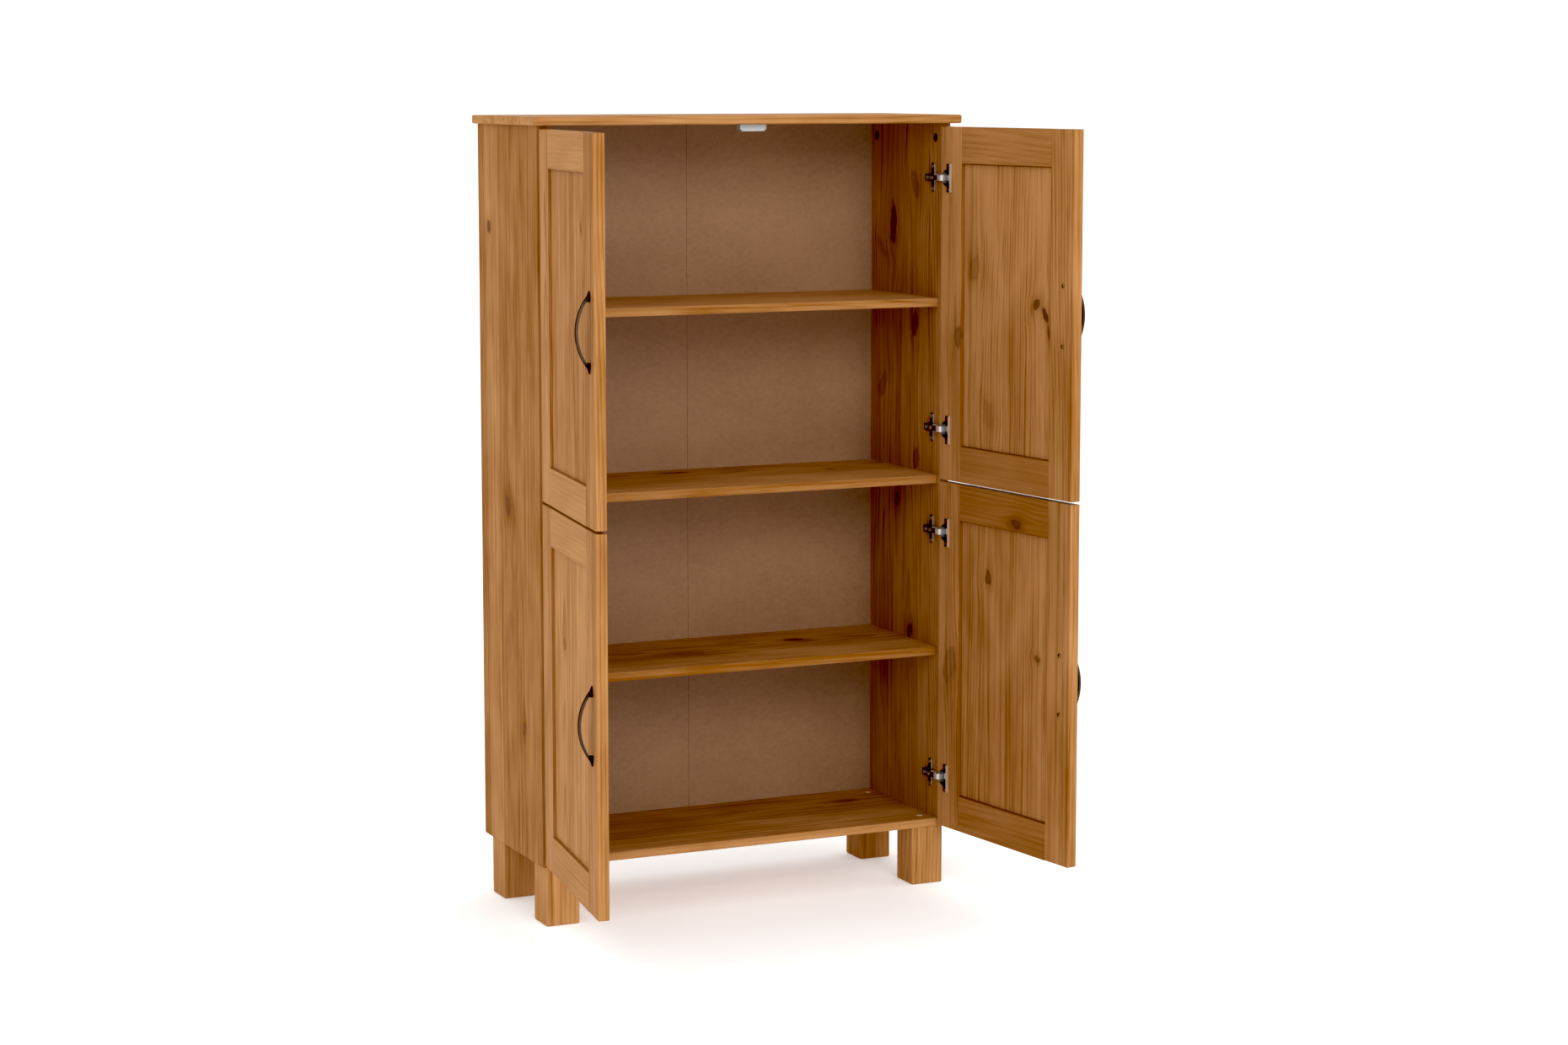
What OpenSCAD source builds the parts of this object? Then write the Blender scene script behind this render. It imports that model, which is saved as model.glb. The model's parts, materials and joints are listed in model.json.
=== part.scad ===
// Bathroom cabinet in pine, with four framed doors that stand open.
// X runs to the right, Y runs to the back, Z runs up from the floor. Sizes are in millimetres.

/* [Carcass] */
// Width across the outer faces of the two sides
body_w = 730; // [620:2:900]
// Depth of the sides
side_d = 277; // [240:1:340]
// Height of the sides, above the legs
side_h = 1188; // [1120:2:1280]
// Thickness of the sides
side_t = 17; // [16:0.5:22]
// Thickness of the bottom board and the shelves
board_t = 14; // [13:0.5:20]
// Thickness of the top board
top_t = 14; // [13:0.5:22]
// How far the top board stands out past each side
top_side_overhang = 10; // [2:1:30]
// How far the top board stands out in front of the sides
top_front_overhang = 23; // [2:1:40]
// How far the shelves stand back from the front edge of the sides
shelf_setback = 5; // [2:0.5:20]
// Clear height under the lower shelf
lower_clear = 280; // [220:1:330]
// Clear height between the middle and the upper shelf
upper_clear = 283; // [230:1:320]

/* [Back] */
// Thickness of the back panel
back_t = 3; // [2.5:0.5:5]
// How far the back panel sits in from the back edge of the sides
back_recess = 14.5; // [8:0.5:25]
// How far the back panel reaches into the groove of each side
back_groove = 6; // [4:0.5:8]
// Gap between the two halves of the back panel
back_joint = 0.5; // [0.3:0.1:0.9]
// Diameter of the nails that hold the back panel
nail_d = 1.4; // [1.2:0.1:1.8]
// Length of those nails under the head
nail_len = 18; // [15:1:25]

/* [Legs] */
// Height of the legs
leg_h = 98; // [60:1:160]
// Width of the square legs
leg_w = 57; // [45:1:70]
// How far a leg stands in from the outer face of the side
leg_side_inset = 6.5; // [2:0.5:15]
// How far a front leg stands back from the front edge of the sides
leg_front_inset = 2; // [1:0.5:15]
// How far a back leg stands in from the back edge of the sides
leg_back_inset = 18.5; // [5:0.5:30]
// Diameter of the screw that holds each leg
leg_screw_d = 5; // [4:0.5:6]
// Length of the screw that holds each leg
leg_screw_len = 60; // [45:1:75]

/* [Dowels and cam locks] */
// Diameter of the dowels
dowel_d = 6; // [5:0.5:7]
// How far a dowel reaches into the side of a side panel, or up into the top board
dowel_in_face = 9; // [7:0.5:10]
// How far a dowel reaches into the end of a board
dowel_in_end = 20; // [15:1:30]
// Distance of the front dowels from the front edge of the sides
dowel_front_y = 45; // [35:1:60]
// Distance of the back dowels from the back panel
dowel_back_y = 55; // [45:1:70]
// Diameter of a cam lock
cam_d = 15; // [13:0.5:17]
// Length of a cam lock
cam_len = 12; // [11.5:0.25:12.5]
// Drop of a cam lock's centre below the top board
cam_drop = 24; // [20:1:34]
// Distance of the front cam locks from the front edge, and of the back ones from the back panel
cam_inset = 20; // [14:1:24]
// Diameter of the cam bolt's shaft
cam_bolt_d = 5; // [4:0.5:6]

/* [Doors] */
// Thickness of a door's frame
door_t = 18; // [17.5:0.5:24]
// Width of the stiles
stile_w = 60; // [50:1:75]
// Width of the rails
rail_w = 60; // [45:1:75]
// Thickness of the panel in a door
panel_t = 8; // [6:0.5:10]
// Depth of the grooves that hold the panel
groove_d = 8; // [6:0.5:12]
// Gap between a closed left door and a closed right door
door_mid_gap = 2; // [1.5:0.5:5]
// How far the hinge edge of a closed door stands in from the side's outer face
door_side_reveal = 0.5; // [0.5:0.5:3]
// Gap between an upper door and a lower door
door_split = 4; // [3:0.5:8]
// Gap between an upper door and the top board
door_top_gap = 5.5; // [3:0.5:12]
// How far a lower door ends above the lower end of the sides
door_foot_gap = 4.5; // [1:0.5:10]
// Angle at which the left doors stand open
left_open_angle = 98; // [90:0.5:99]
// Angle at which the right doors stand open
right_open_angle = 97.5; // [90:0.5:99]

/* [Hinges] */
// Distance of a hinge's centre from the nearest end of its door
hinge_end = 84.5; // [70:0.5:100]
// Diameter of a hinge cup
cup_d = 26; // [25.5:0.5:27]
// Distance of the cup's centre from the hinge edge of the door
cup_inset = 16.5; // [16.5:0.1:17]
// Wall of the hinge cup
cup_wall = 0.7; // [0.6:0.1:0.9]
// Thickness of the cup's flange, which lies on the door
flange_t = 1.3; // [0.8:0.1:1.5]
// Height of the cup's flange
flange_h = 47; // [45:1:52]
// Width of the flange's straight ears
flange_ear_w = 12; // [10:0.5:14]
// Length of those ears, from the tip to where they narrow towards the cup
flange_ear_l = 8.5; // [7:0.5:9]
// Height of the flange's turned-up far edge, above the door
flange_rim_h = 4; // [2:0.5:5]
// Distance of the pin from the hinge edge of the door
pivot_inset = 8.5; // [8.3:0.1:9]
// Depth of the pin below the inner face of the door
pivot_depth = 10.5; // [10:0.1:11]
// Diameter of the hinge pin
pin_d = 3; // [2.6:0.1:3.2]
// Length of the hinge pin
pin_len = 15; // [14.6:0.1:15.2]
// Diameter of the arm's eye around the pin
eye_d = 5.2; // [4.8:0.1:5.4]
// Width of the arm's hook
hook_w = 9.4; // [8:0.2:9.6]
// Thickness of the arm
arm_t = 2.2; // [2:0.1:2.4]
// Distance from the pin to the near face of the arm, measured across the cabinet
arm_reach = 14.8; // [14.2:0.1:15.4]
// Distance of the arm's back end from the front edge of the side
arm_back_y = 40; // [37:1:48]
// Outer width of the arm's channel
channel_w = 12.4; // [12.2:0.1:14]
// Height of the mounting plate's wings, tip to tip
plate_h = 48; // [46:1:56]
// Width of those wings
wing_w = 11; // [10:0.5:12]
// Distance of the wings' centre line from the front edge of the side
wing_y = 26; // [20:0.5:32]
// Thickness of the mounting plate
plate_t = 2; // [1.5:0.1:2.2]
// Diameter of the hinge's wood screws
wood_screw_d = 3.5; // [3:0.1:4]
// Length of the hinge's wood screws under the head
wood_screw_len = 13; // [10:0.5:14]

/* [Handles] */
// Distance between the two handle screws
handle_pitch = 96; // [64:1:128]
// Distance of the handle from the free edge of the door
handle_inset = 26; // [20:1:35]
// How far the handle stands out from the door
handle_rise = 22.5; // [18:0.5:30]
// Width of the bow at its middle
bow_w = 9; // [7:0.5:12]
// Width of the bow at its feet
bow_end_w = 5.5; // [4.5:0.5:7]
// Thickness of the bow
bow_t = 3.5; // [3:0.25:5]
// Length of a foot
foot_len = 16.5; // [14:0.5:22]
// Width of a foot
foot_w = 10; // [8:0.5:12]
// Height of a foot at its blunt end
foot_h = 6; // [5.5:0.25:8]
// Height of a foot at its pointed end
foot_tip_h = 2; // [1.5:0.25:3]
// Diameter of the handle screws
handle_screw_d = 4; // [3:0.5:4.5]

/* [Door catch] */
// Width of the catch
catch_w = 46; // [35:1:60]
// Depth of the catch, front to back
catch_d = 14; // [11:1:20]
// Height of the catch
catch_h = 11; // [8:0.5:14]
// Distance of the catch's centre to the right of the middle
catch_x = 7; // [-10:1:15]
// Distance between the catch's screws
catch_pitch = 30; // [20:1:30]

/* [Clearances] */
// Play of a hinge pin in its arm, on the radius
pin_play = 0.05; // [0.02:0.01:0.09]
// Play of a pressed or driven piece in its hole, on the radius
seat_play = 0.05; // [0.02:0.01:0.1]
// Play of a board or panel in its groove, on each side
groove_play = 0.1; // [0.05:0.05:0.2]
// Space left at the bottom of grooves and blind holes
end_play = 0.5; // [0.3:0.1:0.8]
// Space between a turning door corner and the side
swing_play = 0.5; // [0.4:0.1:1]

/* [Hidden] */
$fn = 64;
LEFT = -1;
RIGHT = 1;
LOWER = 0;
UPPER = 1;

PINE = "#c08a4a";
HARDBOARD = "#8a6950";
BRONZE = "#3a2c22";
ZINC = "#8e8a86";
BROWN = "#4a2a18";
WHITE = "#e4e6e6";
BEECH = "#d8b887";

// Cuts run this far past the faces that they open
past = 1;

// Levels and planes of the carcass
side_top = leg_h + side_h;
inner_x = body_w / 2 - side_t;
back_y = side_d - back_recess - back_t;
floor_z = leg_h + board_t;
door_bottom = leg_h + door_foot_gap;
door_top = side_top - door_top_gap;
door_h = (door_top - door_bottom - door_split) / 2;
split_z = (door_top + door_bottom) / 2;
lower_shelf_z = floor_z + lower_clear;
middle_shelf_z = split_z - board_t / 2;
upper_shelf_z = middle_shelf_z + board_t + upper_clear;
BOARD_Z = [leg_h, lower_shelf_z, middle_shelf_z, upper_shelf_z];
DOOR_Z = [door_bottom, door_bottom + door_h + door_split];

// Doors: the gap behind a door lets its sharp corner swing past the side
door_w = (body_w - 2 * door_side_reveal - door_mid_gap) / 2;
door_gap = norm([pivot_inset, pivot_depth]) - pivot_depth + swing_play;
edge_x = body_w / 2 - door_side_reveal;
pivot_x = edge_x - pivot_inset;
pivot_y = -door_gap - pivot_depth;

// How far an open door reaches forward of its pin
function reach(angle) = (door_w - pivot_inset) * sin(angle) - pivot_depth * cos(angle);

// The origin lies in the middle of the whole, measured with the doors open
front_reach = max(reach(left_open_angle), reach(right_open_angle)) - pivot_y;
origin_y = (front_reach - side_d) / 2;

// How far the rails and the panel reach into the grooves of the stiles
tongue = groove_d - end_play;

// Hinges
cup_r = cup_d / 2;
cup_far = cup_inset + cup_r;
cup_floor_play = 0.4;
cup_in_depth = pivot_depth + eye_d / 2 + cup_floor_play;
cup_out_depth = cup_in_depth + cup_wall;
cup_screw_end = 4;
cup_screw_x = cup_far - flange_ear_w / 2;
cup_screw_z = flange_h / 2 - cup_screw_end;
cup_screw_d = 3;
cup_screw_len = 10;
cup_screw_head_r = 2.8;
cup_screw_head_h = 1.2;
lug_t = 2;
lug_gap = 0.5;
leg_face_x = pivot_x - arm_reach;
bend_r = 4;
channel_play = 0.1;
channel_lift = 0.6;
block_w = hook_w - 2 * channel_play;
plate_nose = 1;
plate_tail = 4;
plate_screw_z = plate_h / 2 - wing_w / 2;
arm_screw_end = 9;
arm_screw_pitch = 15;
block_front_y = arm_back_y - arm_screw_pitch - 2 * arm_screw_end;
ARM_SCREW_Y = [block_front_y + arm_screw_end, arm_back_y - arm_screw_end];
arm_screw_d = 4;
arm_screw_hold = 2.6;
arm_screw_len = arm_t + arm_screw_hold;
HINGE_Z = [for (level = [LOWER, UPPER]) for (end = [hinge_end, door_h - hinge_end])
    DOOR_Z[level] + end];

// Screw heads: the lower part of a pan head is straight, the rest narrows to its flat top
head_h = 1.8;
head_r = 3.5;
head_play = 0.5;
head_straight_share = 0.55;
head_top_share = 0.6;

// Handle
bow_end = 4;
bow_sink = 0.5;
foot_start = 3;
handle_screw_cover = 2;
handle_screw_hold = foot_h - handle_screw_cover;
handle_hole_play = 0.2;

// Places of the fasteners along the depth
DOWEL_Y = [dowel_front_y, back_y - dowel_back_y];
CAM_Y = [cam_inset, back_y - cam_inset];
leg_x = body_w / 2 - leg_side_inset - leg_w;
LEG_Y = [leg_front_inset, side_d - leg_back_inset - leg_w];
leg_screw_x = leg_x + leg_w / 2;
LEG_SCREW_Y = [for (y = LEG_Y) y + leg_w / 2];
nail_mid_x = 35;
nail_end_x = 52;
nail_head_r = 2;
nail_head_h = 0.7;
NAIL_X = [nail_mid_x, inner_x - nail_end_x];
catch_web = 5;
catch_jaw_w = 3;
catch_jaw_h = 2.5;
catch_jaw_x = (catch_w - catch_jaw_w) / 2;
catch_sink = catch_h - catch_web;
catch_screw_hold = wood_screw_len - catch_web;
cam_axis_x = inner_x + side_t / 2;
cam_slot_play = 2.5;
cam_slot_d = cam_bolt_d + cam_slot_play;
cam_cross_l = 9;
cam_cross_w = 1.6;
cam_cross_depth = 2.4;
bolt_head_rim = 0.75;
bolt_head_d = cam_bolt_d + 2 * bolt_head_rim;
bolt_head_h = 3;
bolt_in_top = 9;

// Names
function door_name(side, level) = str(level > 0 ? "upper" : "lower", side > 0 ? "_right" : "_left");
DOORS = [for (level = [LOWER, UPPER]) for (side = [LEFT, RIGHT]) door_name(side, level)];
DOOR_PARTS = ["hinge_stile", "handle_stile", "top_rail", "bottom_rail", "panel",
    "handle", "screws", "hinge_cups", "hinge_pins"];
CARCASS = ["side_left", "side_right", "top_board", "bottom_board", "shelf_lower", "shelf_middle",
    "shelf_upper", "back_panel_left", "back_panel_right", "leg_front_left", "leg_front_right",
    "leg_back_left", "leg_back_right", "leg_screws", "dowels", "cam_locks", "cam_bolts",
    "back_nails", "door_catch", "wood_screws", "hinge_plates", "hinge_arms", "arm_screws"];

// Moves a piece from the carcass's front plane to the cabinet's origin
module placed() {
    translate([0, origin_y, 0])
        children();
}

// Draws a right-hand piece, or its mirror image on the left
module sided(side) {
    if (side < 0)
        mirror([1, 0, 0])
            children();
    else
        children();
}

module both_sides() {
    for (side = [LEFT, RIGHT])
        sided(side)
            children();
}

module cylinder_x(r, h) {
    rotate([0, 90, 0])
        cylinder(r = r, h = h);
}

module cylinder_y(r, h) {
    rotate([-90, 0, 0])
        cylinder(r = r, h = h);
}

// A pan-head screw along Z: its head stands above zero and its shank runs down
module pan_screw(d, len, r = head_r, h = head_h) {
    translate([0, 0, -len])
        cylinder(d = d, h = len);
    cylinder(r = r, h = h * head_straight_share);
    translate([0, 0, h * head_straight_share])
        cylinder(r1 = r, r2 = r * head_top_share, h = h * (1 - head_straight_share));
}

// A flat-head screw along Z: its top is level with zero
module flat_screw(d, len) {
    translate([0, 0, -len])
        cylinder(d = d, h = len - d / 2);
    translate([0, 0, -d / 2])
        cylinder(r1 = d / 2, r2 = d, h = d / 2);
}

// Sides, with their holes and grooves

module side_panel(side) {
    hole_r = dowel_d / 2 + seat_play;
    color(PINE)
        placed()
            sided(side)
                difference() {
                    translate([inner_x, 0, leg_h])
                        cube([side_t, side_d, side_h]);
                    back_slot();
                    for (z = BOARD_Z)
                        for (y = DOWEL_Y)
                            translate([inner_x - past, y, z + board_t / 2])
                                cylinder_x(hole_r, dowel_in_face + end_play + past);
                    for (y = DOWEL_Y)
                        translate([cam_axis_x, y, side_top - dowel_in_end - end_play])
                            cylinder(r = hole_r, h = dowel_in_end + end_play + past);
                    for (y = CAM_Y)
                        cam_holes(y);
                    for (z = HINGE_Z)
                        for (up = [-1, 1])
                            translate([inner_x - past, wing_y, z + up * plate_screw_z])
                                cylinder_x(wood_screw_d / 2 + seat_play, wood_screw_len + past);
                }
}

module back_slot() {
    translate([inner_x - past, back_y - groove_play, leg_h - past])
        cube([back_groove + end_play + past, back_t + 2 * groove_play, side_h + 2 * past]);
}

module cam_holes(y) {
    translate([inner_x - past, y, side_top - cam_drop])
        cylinder_x(cam_d / 2 + seat_play, cam_len + end_play + past);
    translate([cam_axis_x, y, side_top - cam_drop])
        cylinder(d = cam_slot_d, h = cam_drop + past);
}

// Boards

module top_board() {
    color(PINE)
        placed()
            difference() {
                translate([-body_w / 2 - top_side_overhang, -top_front_overhang, side_top])
                    cube([body_w + 2 * top_side_overhang, side_d + top_front_overhang, top_t]);
                both_sides() {
                    for (y = DOWEL_Y)
                        translate([cam_axis_x, y, side_top - past])
                            cylinder(r = dowel_d / 2 + seat_play, h = dowel_in_face + end_play + past);
                    for (y = CAM_Y)
                        translate([cam_axis_x, y, side_top - past])
                            cylinder(r = cam_bolt_d / 2 + seat_play, h = bolt_in_top + end_play + past);
                }
                for (x = [-1, 1])
                    translate([catch_x + x * catch_pitch / 2, catch_d / 2, side_top - past])
                        cylinder(r = wood_screw_d / 2 + seat_play, h = catch_screw_hold + end_play + past);
            }
}

// A board between the sides, with holes for its dowels and for the nails of the back
module board(z, front_y) {
    color(PINE)
        placed()
            difference() {
                translate([-inner_x, front_y, z])
                    cube([2 * inner_x, back_y - front_y, board_t]);
                both_sides() {
                    for (y = DOWEL_Y)
                        translate([inner_x - dowel_in_end - end_play, y, z + board_t / 2])
                            cylinder_x(dowel_d / 2 + seat_play, dowel_in_end + end_play + past);
                    for (x = NAIL_X)
                        translate([x, back_y - nail_len + back_t - end_play, z + board_t / 2])
                            cylinder_y(nail_d / 2 + seat_play, nail_len + past);
                    if (z == leg_h)
                        leg_screw_holes();
                }
            }
}

module leg_screw_holes() {
    sink_h = leg_screw_d / 2 + 2 * seat_play;
    for (y = LEG_SCREW_Y)
        translate([leg_screw_x, y, floor_z]) {
            translate([0, 0, -board_t - past])
                cylinder(r = leg_screw_d / 2 + seat_play, h = board_t + past);
            translate([0, 0, seat_play - sink_h])
                cylinder(r1 = leg_screw_d / 2, r2 = leg_screw_d + 2 * seat_play, h = sink_h);
        }
}

module back_panel(side) {
    color(HARDBOARD)
        placed()
            sided(side)
                difference() {
                    translate([back_joint / 2, back_y, leg_h + end_play])
                        cube([inner_x + back_groove - back_joint / 2, back_t, side_h - 2 * end_play]);
                    for (z = BOARD_Z)
                        for (x = NAIL_X)
                            translate([x, back_y - past, z + board_t / 2])
                                cylinder_y(nail_d / 2 + seat_play, back_t + 2 * past);
                }
}

module back_nails() {
    color(ZINC)
        placed()
            both_sides()
                for (z = BOARD_Z)
                    for (x = NAIL_X)
                        translate([x, back_y + back_t, z + board_t / 2])
                            rotate([-90, 0, 0]) {
                                translate([0, 0, -nail_len])
                                    cylinder(d = nail_d, h = nail_len);
                                cylinder(r = nail_head_r, h = nail_head_h);
                            }
}

// Legs

module leg(side, row) {
    color(PINE)
        placed()
            sided(side)
                difference() {
                    translate([leg_x, LEG_Y[row], 0])
                        cube([leg_w, leg_w, leg_h]);
                    translate([leg_screw_x, LEG_SCREW_Y[row], floor_z - leg_screw_len - end_play])
                        cylinder(r = leg_screw_d / 2 + seat_play, h = leg_screw_len + past);
                }
}

module leg_screws() {
    color(ZINC)
        placed()
            both_sides()
                for (y = LEG_SCREW_Y)
                    translate([leg_screw_x, y, floor_z])
                        flat_screw(leg_screw_d, leg_screw_len);
}

// Dowels and cam locks

module dowels() {
    color(BEECH)
        placed()
            both_sides() {
                for (z = BOARD_Z)
                    for (y = DOWEL_Y)
                        translate([inner_x - dowel_in_end, y, z + board_t / 2])
                            cylinder_x(dowel_d / 2, dowel_in_end + dowel_in_face);
                for (y = DOWEL_Y)
                    translate([cam_axis_x, y, side_top - dowel_in_end])
                        cylinder(d = dowel_d, h = dowel_in_end + dowel_in_face);
            }
}

// A cam lock: a short drum with a cross in its face and a hole for the bolt's head
module cam_locks() {
    color(BROWN)
        placed()
            both_sides()
                for (y = CAM_Y)
                    translate([inner_x, y, side_top - cam_drop])
                        difference() {
                            cylinder_x(cam_d / 2, cam_len);
                            translate([side_t / 2, 0, -bolt_head_h])
                                cylinder(d = cam_slot_d, h = cam_d);
                            for (turn = [45, 135])
                                rotate([turn, 0, 0])
                                    translate([0, -cam_cross_w / 2, -cam_cross_l / 2])
                                        cube([cam_cross_depth, cam_cross_w, cam_cross_l]);
                        }
}

module cam_bolts() {
    color(ZINC)
        placed()
            both_sides()
                for (y = CAM_Y)
                    translate([cam_axis_x, y, side_top - cam_drop]) {
                        cylinder(d = cam_bolt_d, h = cam_drop + bolt_in_top);
                        translate([0, 0, -bolt_head_h / 2])
                            cylinder(d = bolt_head_d, h = bolt_head_h);
                    }
}

// Door catch, screwed up into the top board

module door_catch() {
    color(WHITE)
        placed()
            translate([catch_x, 0, side_top])
                difference() {
                    translate([-catch_w / 2, 0, -catch_h])
                        cube([catch_w, catch_d, catch_h]);
                    for (x = [-1, 1])
                        translate([x * catch_pitch / 2, catch_d / 2, 0]) {
                            translate([0, 0, -catch_h - past])
                                cylinder(r = wood_screw_d / 2 + seat_play, h = catch_h + 2 * past);
                            translate([0, 0, -catch_h - past])
                                cylinder(r = head_r + head_play, h = past + catch_sink);
                        }
                    for (x = [-1, 1])
                        translate([x * catch_jaw_x - catch_jaw_w / 2, -past, -catch_h - past])
                            cube([catch_jaw_w, catch_d + 2 * past, catch_jaw_h + past]);
                }
}

// Screws in wood: those of the mounting plates and of the door catch

module wood_screws() {
    color(ZINC)
        placed() {
            both_sides()
                for (z = HINGE_Z)
                    for (up = [-1, 1])
                        translate([inner_x - plate_t, wing_y, z + up * plate_screw_z])
                            rotate([0, -90, 0])
                                pan_screw(wood_screw_d, wood_screw_len);
            for (x = [-1, 1])
                translate([catch_x + x * catch_pitch / 2, catch_d / 2, side_top - catch_h + catch_sink])
                    rotate([180, 0, 0])
                        pan_screw(wood_screw_d, wood_screw_len);
        }
}

// Hinge plates and arms, on the sides

// Lays a flat outline, drawn as depth by height, against a side's inner face
module on_side(from_face, t) {
    translate([inner_x - from_face - t, 0, 0])
        rotate([90, 0, 90])
            linear_extrude(height = t)
                children();
}

module wing_outline() {
    translate([wing_y - wing_w / 2, -plate_screw_z])
        square([wing_w, 2 * plate_screw_z]);
    for (up = [-1, 1])
        translate([wing_y, up * plate_screw_z])
            circle(d = wing_w);
    translate([block_front_y - plate_nose, -channel_w / 2])
        square([plate_nose + arm_back_y - block_front_y + plate_tail, channel_w]);
}

module hinge_plates() {
    color(ZINC)
        placed()
            both_sides()
                for (z = HINGE_Z)
                    translate([0, 0, z])
                        difference() {
                            union() {
                                on_side(0, plate_t)
                                    wing_outline();
                                on_side(plate_t, inner_x - plate_t - leg_face_x)
                                    translate([block_front_y, -block_w / 2])
                                        square([arm_back_y - block_front_y, block_w]);
                            }
                            for (up = [-1, 1])
                                translate([inner_x - plate_t - past, wing_y, up * plate_screw_z])
                                    cylinder_x(wood_screw_d / 2 + seat_play, plate_t + 2 * past);
                            for (y = ARM_SCREW_Y)
                                translate([leg_face_x - past, y, 0])
                                    cylinder_x(arm_screw_d / 2 + seat_play, arm_screw_len + past);
                        }
}

// The arm seen from above: eye, hook and leg
module arm_outline() {
    leg_c = leg_face_x - arm_t / 2;
    difference() {
        union() {
            translate([pivot_x, pivot_y])
                circle(d = eye_d);
            translate([leg_c + bend_r, pivot_y - arm_t / 2])
                square([pivot_x - leg_c - bend_r, arm_t]);
            translate([leg_c + bend_r, pivot_y + bend_r])
                intersection() {
                    difference() {
                        circle(r = bend_r + arm_t / 2);
                        circle(r = bend_r - arm_t / 2);
                    }
                    translate([-2 * bend_r, -2 * bend_r])
                        square(2 * bend_r);
                }
            translate([leg_c - arm_t / 2, pivot_y + bend_r])
                square([arm_t, arm_back_y - pivot_y - bend_r]);
        }
        translate([pivot_x, pivot_y])
            circle(r = pin_d / 2 + pin_play);
    }
}

module hinge_arm() {
    wall_t = (channel_w - hook_w) / 2 - channel_play;
    wall_d = inner_x - plate_t - leg_face_x - channel_lift;
    wall_l = arm_back_y - block_front_y;
    difference() {
        union() {
            linear_extrude(height = hook_w, center = true)
                arm_outline();
            translate([leg_face_x - arm_t, block_front_y, -channel_w / 2])
                cube([arm_t, wall_l, channel_w]);
            for (up = [0, 1])
                translate([leg_face_x - arm_t, block_front_y, -channel_w / 2 + up * (channel_w - wall_t)])
                    cube([arm_t + wall_d, wall_l, wall_t]);
        }
        for (y = ARM_SCREW_Y)
            translate([leg_face_x - arm_t - past, y, 0])
                cylinder_x(arm_screw_d / 2 + seat_play, arm_t + 2 * past);
    }
}

module hinge_arms() {
    color(ZINC)
        placed()
            both_sides()
                for (z = HINGE_Z)
                    translate([0, 0, z])
                        hinge_arm();
}

module arm_screws() {
    color(ZINC)
        placed()
            both_sides()
                for (z = HINGE_Z)
                    for (y = ARM_SCREW_Y)
                        translate([leg_face_x - arm_t, y, z])
                            rotate([0, -90, 0])
                                pan_screw(arm_screw_d, arm_screw_len);
}

// Doors. In a door's own frame X runs from the hinge edge to the free edge,
// Y from the inner face to the outer face, and Z up from the door's lower end.

module door_frame(side, level) {
    turn = side < 0 ? left_open_angle : right_open_angle;
    placed()
        sided(side)
            translate([pivot_x, pivot_y, DOOR_Z[level]])
                rotate([0, 0, turn + 180])
                    translate([-pivot_inset, -pivot_depth, 0])
                        children();
}

// Repeats a piece at a door's two hinges
module at_hinges() {
    for (z = [hinge_end, door_h - hinge_end])
        translate([0, 0, z])
            children();
}

module groove(len_x, len_z) {
    translate([0, door_t / 2 - panel_t / 2 - groove_play, 0])
        cube([len_x, panel_t + 2 * groove_play, len_z]);
}

module hinge_stile() {
    color(PINE)
        difference() {
            cube([stile_w, door_t, door_h]);
            translate([stile_w - groove_d, 0, -past])
                groove(groove_d + past, door_h + 2 * past);
            at_hinges() {
                translate([cup_inset, -past, 0])
                    cylinder_y(cup_r + seat_play, cup_out_depth + seat_play + past);
                for (up = [-1, 1])
                    translate([cup_screw_x, -past, up * cup_screw_z])
                        cylinder_y(cup_screw_d / 2 + seat_play, cup_screw_len + past);
            }
        }
}

module handle_stile() {
    color(PINE)
        difference() {
            translate([door_w - stile_w, 0, 0])
                cube([stile_w, door_t, door_h]);
            translate([door_w - stile_w - past, 0, -past])
                groove(groove_d + past, door_h + 2 * past);
            at_handle_screws()
                translate([0, -past, 0])
                    cylinder_y(handle_screw_d / 2 + handle_hole_play, door_t + 2 * past);
        }
}

// A rail with a tongue at each end, and a groove along the edge that faces the panel
module rail(is_top) {
    z0 = is_top ? door_h - rail_w : 0;
    groove_z = is_top ? z0 - past : rail_w - groove_d;
    color(PINE)
        difference() {
            union() {
                translate([stile_w, 0, z0])
                    cube([door_w - 2 * stile_w, door_t, rail_w]);
                translate([stile_w - tongue, door_t / 2 - panel_t / 2, z0])
                    cube([door_w - 2 * stile_w + 2 * tongue, panel_t, rail_w]);
            }
            translate([stile_w - groove_d, 0, groove_z])
                groove(door_w - 2 * stile_w + 2 * groove_d, groove_d + past);
        }
}

module door_panel() {
    color(PINE)
        translate([stile_w - tongue, door_t / 2 - panel_t / 2, rail_w - tongue])
            cube([door_w - 2 * stile_w + 2 * tongue, panel_t, door_h - 2 * rail_w + 2 * tongue]);
}

// Handle

module at_handle_screws() {
    for (up = [-1, 1])
        translate([door_w - handle_inset, 0, door_h / 2 + up * handle_pitch / 2])
            children();
}

// Extrudes an outline, drawn as rise by height, across the handle
module across(width) {
    rotate([90, 0, 90])
        linear_extrude(height = width, center = true)
            children();
}

// Extrudes an outline, drawn as width by height, straight out from the door
module outward(depth) {
    translate([0, depth, 0])
        rotate([90, 0, 0])
            linear_extrude(height = depth)
                children();
}

// The shape between two equal circles that cross: width w at the middle, pointed at its ends
module lens(w, r) {
    intersection() {
        translate([r - w / 2, 0])
            circle(r = r, $fn = 360);
        translate([w / 2 - r, 0])
            circle(r = r, $fn = 360);
    }
}

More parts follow.
